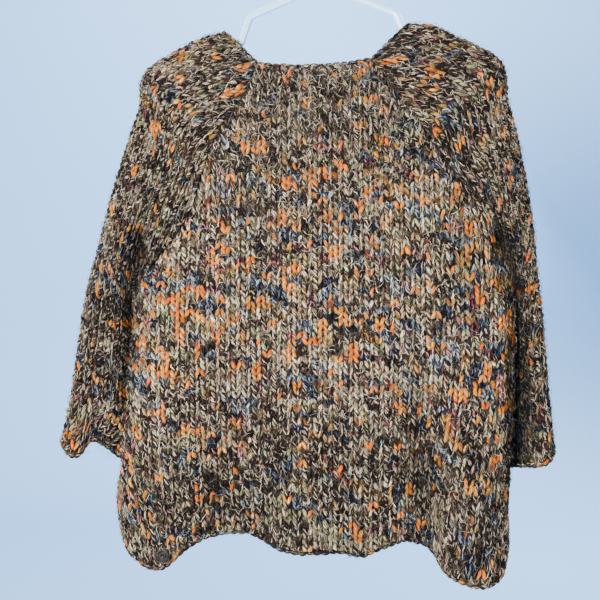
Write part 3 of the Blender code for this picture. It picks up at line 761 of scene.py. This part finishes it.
def chain(name, line, outward, off_edge, material, seed):
    """A chain of bound-off stitches along an edge. line holds the outer face's points at the edge."""
    rng = np.random.default_rng(seed)
    length = lengths_along(line)
    links = max(2, round(length[-1] / CHAIN_PITCH))
    pitch = length[-1] / links
    hands = np.tile([-1.0, 1.0], links)
    shape, where = leg_shapes(CHAIN_LEG, hands, rng, CHAIN_LOOSENESS)
    starts = np.repeat(np.arange(links), 2) * pitch
    distance = np.clip(starts[:, None] + shape[:, :, 1] * pitch / WALE, 0, length[-1])
    angle = (CHAIN_TURN + shape[:, :, 0] / EDGE_ROUND_RADIUS)[:, :, None]
    out, off = unit(read_at(distance, length, outward)), unit(read_at(distance, length, off_edge))
    middle = read_at(distance, length, line) - out * (WALL / 2) - off * EDGE_INSET
    radial = off * np.cos(angle) + out * np.sin(angle)
    points = middle + radial * (EDGE_ROUND_RADIUS - CHAIN_SUNK + shape[:, :, 2])[:, :, None]
    numbers = yarn_colours(rng, [len(hands)], [CHAIN_DARK_YARN])
    return stitch_object(name, points, where, numbers, np.full(len(hands), CHAIN_LIGHT), rng, material)


def tube(name, line, across_one, across_two, radius, material):
    """A round length of yarn along a line, whose cross-section lies along two directions at each point."""
    turns = np.linspace(0, 2 * math.pi, TUBE_SIDES + 1)[None, :, None]
    ring = np.cos(turns) * across_one[:, None] + np.sin(turns) * across_two[:, None]
    body, corners = net(line[:, None] + ring * radius)
    seam = {corners[row, TUBE_SIDES]: corners[row, 0] for row in range(len(line))}
    bmesh.ops.weld_verts(body, targetmap=seam)
    bmesh.ops.holes_fill(body, edges=body.edges)
    bmesh.ops.recalc_face_normals(body, faces=body.faces)
    return body_object(name, body, material)


def edge_roll(name, line, outward, off_edge, material):
    """The curled edge under a bound-off chain."""
    line, outward, off_edge = line[::2], unit(outward[::2]), unit(off_edge[::2])
    middle = line - outward * (WALL / 2) - off_edge * EDGE_INSET
    return tube(name, middle, off_edge, outward, EDGE_ROLL_RADIUS, material)


def yarn_coil(chart, place, material):
    """The yarn's end, wound up flat on the cloth."""
    flat = chart.grid[:, :, (0, 2)] - np.array(place)
    course, column = np.unravel_index(np.argmin((flat**2).sum(axis=2)), flat.shape[:2])
    turn = np.linspace(0, 2 * math.pi * COIL_TURNS, COIL_POINTS)
    reach = COIL_START + COIL_GROWTH * turn / turn[-1]
    height = COIL_HEIGHT + COIL_WAVE * np.sin(turn * COIL_WAVES)
    wale = chart.grid_wales[column] + reach * np.cos(turn) / WALE
    line = chart.place(wale, course + reach * np.sin(turn) / COURSE, height)
    forward = unit(np.gradient(line, axis=0))
    outward = unit(chart.grid[course, column, 3:])[None, :]
    side = unit(np.cross(forward, outward))
    return tube(chart.name + "_yarn_end", line, side, np.cross(side, forward), COIL_YARN, material)


def fibre_strips(name, points, lit, rng, material):
    """Thin strips as one piece, from the points (strips, steps, 2 sides, 3) of their long sides."""
    count, edges = len(points), 2 * (FUZZ_STEPS + 1)
    first_points = np.arange(count)[:, None] * edges + np.arange(FUZZ_STEPS) * 2
    faces = first_points[:, :, None] + np.array([0, 1, 3, 2])
    piece = faces_object(name, points, faces.reshape(-1, 4).tolist(), material, flat=True)
    dark, light = linear(FUZZ_COLOURS[0]), linear(FUZZ_COLOURS[1])
    is_light = rng.random(count) < LIGHT_FUZZ
    share = np.where(is_light, rng.uniform(*LIGHT_SHARES, count), rng.uniform(*DARK_SHARES, count))
    # lit is painted light, darkening the fibres as it does the yarn.
    paint(piece, "fibre", (dark + (light - dark) * share[:, None]) * lit[:, None])
    return piece


def fibre_runs(rng, count, lengths):
    """Bent runs over the cloth (across, up) with their headings, and the half widths of their strips."""
    step = np.linspace(0, 1, FUZZ_STEPS + 1)[None, :]
    length = rng.uniform(*lengths, count)[:, None]
    heading = rng.uniform(0, 2 * math.pi, count)[:, None] + rng.normal(0, FUZZ_BEND, count)[:, None] * step
    run = step * length
    half = FUZZ_WIDTH / 2 * (1 - FUZZ_TAPER * np.abs(2 * step - 1))
    return step, run * np.cos(heading), run * np.sin(heading), heading, half


def fuzz(chart, count, material, seed):
    """Loose fibres that stand off the yarn: thin bent strips, tapered to both ends."""
    rng = np.random.default_rng(seed)
    rows = np.arange(len(chart.levels))
    course = rng.uniform(FUZZ_MARGINS[0], len(rows) - FUZZ_MARGINS[1], count)
    first, last = np.interp(course, rows, chart.first), np.interp(course, rows, chart.last)
    wale = first + (last - first) * rng.random(count)
    step, across_mm, up_mm, heading, half = fibre_runs(rng, count, FUZZ_LENGTHS)
    rise = rng.uniform(*FUZZ_RISES, count)[:, None]
    height = rise * np.sin(math.pi * step * rng.uniform(*FUZZ_ARCHES, count)[:, None]) - FUZZ_ROOT
    roll = rng.uniform(*FUZZ_ROLLS, count)[:, None] * math.pi
    sides = []
    for off in (-half, half):
        x = across_mm - np.sin(heading) * np.cos(roll) * off
        y = up_mm + np.cos(heading) * np.cos(roll) * off
        place = wale[:, None] + x / WALE, course[:, None] - y / COURSE
        sides.append(chart.place(*place, height + np.sin(roll) * off))
    points = np.stack(sides, axis=2)
    # The fibres take the yarn's painted shade in the creases.
    lit = painted_crease_light(chart.name, wale, points.mean(axis=(1, 2)))
    return fibre_strips(chart.name + "_fuzz", points, lit, rng, material)


def edge_fuzz(name, line, outward, off_edge, material, seed):
    """Loose fibres that stand off an edge."""
    rng = np.random.default_rng(seed)
    length = lengths_along(line)
    count = round(length[-1] / EDGE_FUZZ_SPACING)
    place = rng.uniform(0, length[-1], count)
    start, out, away = (read_at(place, length, values)[:, None] for values in (line, outward, off_edge))
    step, sideways, _, heading, half = fibre_runs(rng, count, EDGE_FUZZ_LENGTHS)
    reach = rng.uniform(*EDGE_FUZZ_REACHES, count)[:, None]
    reach = reach * np.sin(math.pi * step * rng.uniform(*FUZZ_ARCHES, count)[:, None]) - FUZZ_ROOT
    height = rng.uniform(-WALL, 0, count)[:, None] + rng.normal(0, 2, count)[:, None] * step
    middle = start + np.cross(out, away) * sideways[..., None] + out * height[..., None] + away * reach[..., None]
    off = (away * np.cos(heading)[..., None] + out * np.sin(heading)[..., None]) * half[..., None]
    return fibre_strips(name, np.stack([middle - off, middle + off], axis=2), np.ones(count), rng, material)


def shell(chart, columns, outside, inside):
    """The panel's own cloth: a thin wall under the stitches, on the surface that the chart was made from."""
    points = panel_surface(chart.name, chart.levels, np.linspace(0, 1, columns + 1))
    points = points - directions_out(chart.name, points, chart.levels) * SHELL_TOP
    if kind_of(chart.name) == "sleeve":
        ring = chart.levels >= UNDERARM_LEVEL["sleeve"]
        points[ring, -1] = points[ring, 0]
    wales = np.linspace(chart.first, chart.last, columns + 1, axis=1)
    courses = np.broadcast_to(np.arange(len(chart.levels))[:, None], wales.shape)
    body, _ = net(points, np.stack([wales, courses, 0 * wales], axis=2))
    bmesh.ops.remove_doubles(body, verts=body.verts, dist=1e-6)
    if PANELS[chart.name][0] > 0:
        bmesh.ops.reverse_faces(body, faces=body.faces)
    made = body_object(chart.name + "_cloth", body, outside, inside)
    wall = made.modifiers.new("thickness", "SOLIDIFY")
    wall.thickness = SHELL_THICKNESS * MM
    wall.offset = -1
    wall.material_offset = 1
    wall.material_offset_rim = 0
    return made


# ---- materials


class Wiring:
    """A shader's nodes, each added, set and wired up in one call. Its inputs are numbers or other outputs."""

    def __init__(self, tree):
        self.nodes, self.links = tree.nodes, tree.links

    def wire(self, value, socket):
        if isinstance(value, bpy.types.NodeSocket):
            self.links.new(value, socket)
        else:
            socket.default_value = value

    def add(self, kind, inputs, **settings):
        node = self.nodes.new("ShaderNode" + kind)
        for setting, value in settings.items():
            setattr(node, setting, value)
        for socket, value in inputs.items():
            self.wire(value, node.inputs[socket])
        return node.outputs

    def math(self, operation, *values):
        return self.add("Math", dict(enumerate(values)), operation=operation)[0]

    def times(self, first, second):
        return self.math("MULTIPLY", first, second)

    def plus(self, first, second):
        return self.math("ADD", first, second)

    def vector(self, *parts):
        return self.add("CombineXYZ", dict(enumerate(parts)))[0]

    def noise(self, place, scale, detail):
        return self.add("TexNoise", {"Vector": place, "Scale": scale, "Detail": detail})["Fac"]

    def between(self, value, low, high, to_low=0.0, to_high=1.0, kind="SMOOTHSTEP"):
        limits = {"From Min": low, "From Max": high, "To Min": to_low, "To Max": to_high}
        return self.add("MapRange", {"Value": value, **limits}, interpolation_type=kind)["Result"]

    def mix(self, kind, share, first, second):
        return self.add("Mix", {0: share, 6: first, 7: second}, data_type="RGBA", blend_type=kind)[2]

    def ramp(self, value, stops, kind="LINEAR"):
        node = self.nodes.new("ShaderNodeValToRGB")
        node.color_ramp.interpolation = kind
        elements = node.color_ramp.elements
        for index, (position, colour) in enumerate(stops):
            stop = elements[index] if index < 2 else elements.new(position)
            stop.position = position
            stop.color = (*linear(colour), 1)
        self.links.new(value, node.inputs["Fac"])
        return node.outputs["Color"]

    def bump(self, height, strength, distance):
        return self.add("Bump", {"Height": height, "Strength": strength, "Distance": distance})["Normal"]

    def layer(self, name, output):
        return self.add("Attribute", {}, attribute_name=name)[output]

    def ridge(self, value):
        """The number of the strand or row that a value falls in, and its round height there."""
        side = self.math("MULTIPLY_ADD", self.math("FRACT", value), 2.0, -1.0)
        return self.math("FLOOR", value), self.math("SUBTRACT", 1.0, self.times(side, side))


def new_group(name, inputs):
    """A node group with these inputs, and the outputs Color and Height."""
    group = bpy.data.node_groups.new(name, "ShaderNodeTree")
    for direction, sockets in ("INPUT", inputs), ("OUTPUT", (("Color", "Color"), ("Height", "Float"))):
        for socket, kind in sockets:
            group.interface.new_socket(socket, in_out=direction, socket_type="NodeSocket" + kind)
    given, out = group.nodes.new("NodeGroupInput"), group.nodes.new("NodeGroupOutput")
    return group, Wiring(group), given.outputs, out.inputs


def yarn_group():
    """A thick roving of thin strands that turn slowly round it, each dark, light or flecked for a way."""
    group, wiring, given, out = new_group("loose_strands", (
        ("Yarn", "Vector"), ("Dark", "Color"), ("Light", "Color"), ("Fleck", "Color"),
        ("Exposed", "Float"), ("Twist Length", "Float"), ("Strands", "Float")))
    times, plus, vector, noise, between = wiring.times, wiring.plus, wiring.vector, wiring.noise, wiring.between
    length, turn, chance = wiring.add("SeparateXYZ", {0: given["Yarn"]})
    far = times(chance, 113.0)
    wander = noise(vector(length, times(turn, 4.0), far), 0.22, 1.0)
    turned = plus(turn, wiring.math("DIVIDE", length, given["Twist Length"]))
    turned = plus(turned, times(wander, 0.35))
    number, round_strand = wiring.ridge(times(turned, given["Strands"]))
    own = plus(times(number, 7.3), far)
    light = noise(vector(times(length, 0.07), own, far), 1.0, 1.0)
    fleck = noise(vector(times(length, 0.05), far, own), 1.3, 0.0)
    fibres = noise(vector(times(length, 0.5), times(turned, 40.0), far), 1.0, 2.0)
    uneven = plus(times(wiring.math("FRACT", times(chance, 17.0)), 0.08), light)
    lightness = between(plus(times(fibres, 0.2), uneven), 0.64, 0.82)
    colour = wiring.mix("MIX", lightness, given["Dark"], given["Light"])
    colour = wiring.mix("MIX", between(fleck, 0.60, 0.67), colour, given["Fleck"])
    # Painted shade: the colour is darkened in the grooves between strands, and low on each leg where it dips between
    # its neighbours; the fibre noise is the yarn's own uneven tone.
    for value, *limits in ((round_strand, 0.0, 0.55, 0.5, 1.0), (fibres, 0.3, 0.7, 0.54, 0.96),
                           (given["Exposed"], 0.0, 1.0, 0.10, 1.0)):
        colour = wiring.mix("MULTIPLY", 1.0, colour, between(value, *limits))
    wiring.wire(colour, out["Color"])
    wiring.wire(plus(times(fibres, 0.5), round_strand), out["Height"])
    return group


def purl_group():
    """The inside of the cloth: a wavy ridge for each course, in the yarn's colours, by wale and course."""
    group, wiring, given, out = new_group("purl_ridges", (("Stitch", "Vector"),))
    times, plus = wiring.times, wiring.plus
    wale, course, _ = wiring.add("SeparateXYZ", {0: given["Stitch"]})
    row = plus(course, times(wiring.math("SINE", times(wale, 2 * math.pi)), 0.3))
    number, ridge = wiring.ridge(row)
    half_wale = wiring.math("FLOOR", times(wale, 2.0))
    cell = wiring.vector(times(half_wale, 0.37), times(number, 5.3))
    colour = wiring.ramp(wiring.noise(cell, 1.0, 1.0), (
        (0.0, (60, 70, 92)), (0.36, (120, 106, 88)), (0.42, (40, 32, 26)), (0.48, (190, 178, 152)),
        (0.54, (86, 72, 56)), (0.60, (232, 140, 56)), (0.66, (150, 134, 108))), "CONSTANT")
    strands = wiring.noise(wiring.vector(times(wale, 2.2), times(row, 9.0)), 1.0, 2.0)
    # Painted shade in the troughs between the ridges, mixed with the strands' own uneven tone.
    trough_shade_and_tone = wiring.between(times(ridge, strands), 0.0, 0.7, 0.05, 0.77, "LINEAR")
    wiring.wire(wiring.mix("MULTIPLY", 1.0, colour, trough_shade_and_tone), out["Color"])
    wiring.wire(plus(times(strands, 0.4), ridge), out["Height"])
    return group


def new_material(name, roughness, gloss=0.5):
    material = bpy.data.materials.new(name)
    material.use_nodes = True
    shader = material.node_tree.nodes["Principled BSDF"].inputs
    shader["Roughness"].default_value = roughness
    shader["Specular IOR Level"].default_value = gloss
    return material, Wiring(material.node_tree), shader


def grouped_material(name, roughness, group, layers, numbers, bump):
    """A material of a node group that reads the piece's layers (input, layer, output) and fixed numbers."""
    material, wiring, shader = new_material(name, roughness, 0.15)
    inputs = {socket: wiring.layer(layer, output) for socket, layer, output in layers}
    made = wiring.add("Group", inputs | numbers, node_tree=group)
    wiring.wire(made["Color"], shader["Base Color"])
    wiring.wire(wiring.bump(made["Height"], *bump), shader["Normal"])
    return material


def fuzz_material():
    material, wiring, shader = new_material("loose_fibres", 1.0, 0.1)
    wiring.wire(wiring.layer("fibre", "Color"), shader["Base Color"])
    return material


def speckled_material(name, roughness, gloss, scale, detail, stops, bump=None):
    """A mottled finish between two colours: the yarn in the edges and between the legs, and the plastic."""
    material, wiring, shader = new_material(name, roughness, gloss)
    noise = wiring.noise(wiring.add("TexCoord", {})["Object"], scale, detail)
    wiring.wire(wiring.ramp(noise, stops), shader["Base Color"])
    if bump:
        wiring.wire(wiring.bump(noise, *bump), shader["Normal"])
    return material


def plied_material(name, dark, light):
    return speckled_material(name, 0.95, 0.1, 260, 4, ((0.3, dark), (0.75, light)))


# ---- camera, light, backdrop


def make_camera():
    """The camera, level and in front of the back, with a focal length of 973.5 pixels in 600."""
    data = bpy.data.cameras.new("camera")
    data.sensor_width = 36
    data.lens = 36 * 973.5 / 600
    data.clip_start, data.clip_end = 0.05, 50
    camera = stand("camera", data)
    camera.location = (-0.0249, -1.1, -0.4171)
    camera.rotation_euler = (math.pi / 2, 0, 0)
    bpy.context.scene.camera = camera


def make_light(name, place, aim, size, power, colour):
    data = bpy.data.lights.new(name, "AREA")
    data.shape, data.size, data.energy, data.color = "DISK", size, power, colour
    light = stand(name, data)
    light.location = place
    light.rotation_euler = (Vector(aim) - Vector(place)).to_track_quat("-Z", "Y").to_euler()


def make_stage():
    """A pale floor that curves up into a pale backdrop, and even light from all round."""
    floor_z, wall_y, bend, half_width = -0.95, 1.7, 0.5, 3.5
    angles = np.linspace(0, math.pi / 2, 9)
    curved = zip(wall_y - bend + bend * np.sin(angles), floor_z + bend - bend * np.cos(angles))
    profile = np.array([(-3.5, floor_z), *curved, (wall_y, 2.6)])
    sides = [np.insert(profile, 0, x, axis=1) for x in (-half_width, half_width)]
    body, _ = net(np.stack(sides, axis=1) / MM)
    material, _, shader = new_material("backdrop_paint", 0.9)
    shader["Base Color"].default_value = (*linear((158, 206, 255)), 1)
    body_object("backdrop", body, material)
    world = bpy.data.worlds.new("studio")
    world.use_nodes = True
    studio = world.node_tree.nodes["Background"].inputs
    studio["Color"].default_value = (1.0, 0.97, 0.93, 1)
    studio["Strength"].default_value = 0.165
    bpy.context.scene.world = world


# ---- putting it together

make_camera()
make_stage()
make_light("key", (-1.0, -2.1, -0.4), (0.02, 0, -0.42), 0.8, 188, (1.0, 0.98, 0.95))
make_light("fill", (1.3, -1.9, -0.2), (0, 0, -0.45), 1.2, 11, (0.95, 0.97, 1.0))
make_light("front", (0.9, 1.3, 0.3), (0, 0, -0.4), 0.9, 31, (1.0, 0.98, 0.95))
make_light("backdrop_light", (0.0, 0.6, 1.4), (0, 1.7, -0.4), 1.2, 62, (0.84, 0.93, 1.0))

yarn = grouped_material("marled_yarn", 0.9, yarn_group(), (
    ("Yarn", "yarn", "Vector"), ("Exposed", "exposed", "Fac"), ("Dark", "dark_strand", "Color"),
    ("Light", "light_strand", "Color"), ("Fleck", "fleck", "Color"),
), {"Twist Length": 44.0, "Strands": 13.0}, (0.8, 0.0005))
# The yarn under and between the legs, made near black as painted shade in the gaps between them.
painted_shade_core = plied_material("yarn_core", (18, 12, 8), (53, 41, 33))
rolled = plied_material("rolled_edge", (30, 21, 18), (133, 114, 89))
wound = plied_material("wound_yarn", (4, 4, 6), (75, 71, 64))
purl = grouped_material("purl_side", 0.92, purl_group(), [("Stitch", "stitch", "Vector")], {}, (1.0, 0.002))
fibres = fuzz_material()
plastic = speckled_material("white_plastic", 0.32, 0.5, 45, 3, ((0, (176, 218, 255)), (1, (200, 234, 255))),
                            (0.08, 0.0004))
for node in ("hanger_frame", "hanger_hook"):
    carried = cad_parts[node]
    for slot in carried.material_slots:
        slot.material = plastic

for seed, panel in enumerate(PANELS):
    columns, fibre_count, (width, length, area) = PANELS[panel][2:]
    chart = Chart(panel)
    cloth = shell(chart, columns, painted_shade_core, purl)
    added = [knit(chart, yarn, 100 + seed), fuzz(chart, fibre_count, fibres, 260 + seed)]
    for number, (edge, *lines) in enumerate(chart.edges()):
        added.append(edge_roll(f"{panel}_{edge}_roll", *lines, rolled))
        added.append(chain(f"{panel}_{edge}_edge", *lines, yarn, 200 + 20 * number + seed))
        added.append(edge_fuzz(f"{panel}_{edge}_fuzz", *lines, fibres, 300 + 20 * number + seed))
    if panel == "back":
        added.append(yarn_coil(chart, YARN_COIL, wound))
    for piece in (cloth, *added):
        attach(piece, "root")
    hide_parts(panel)
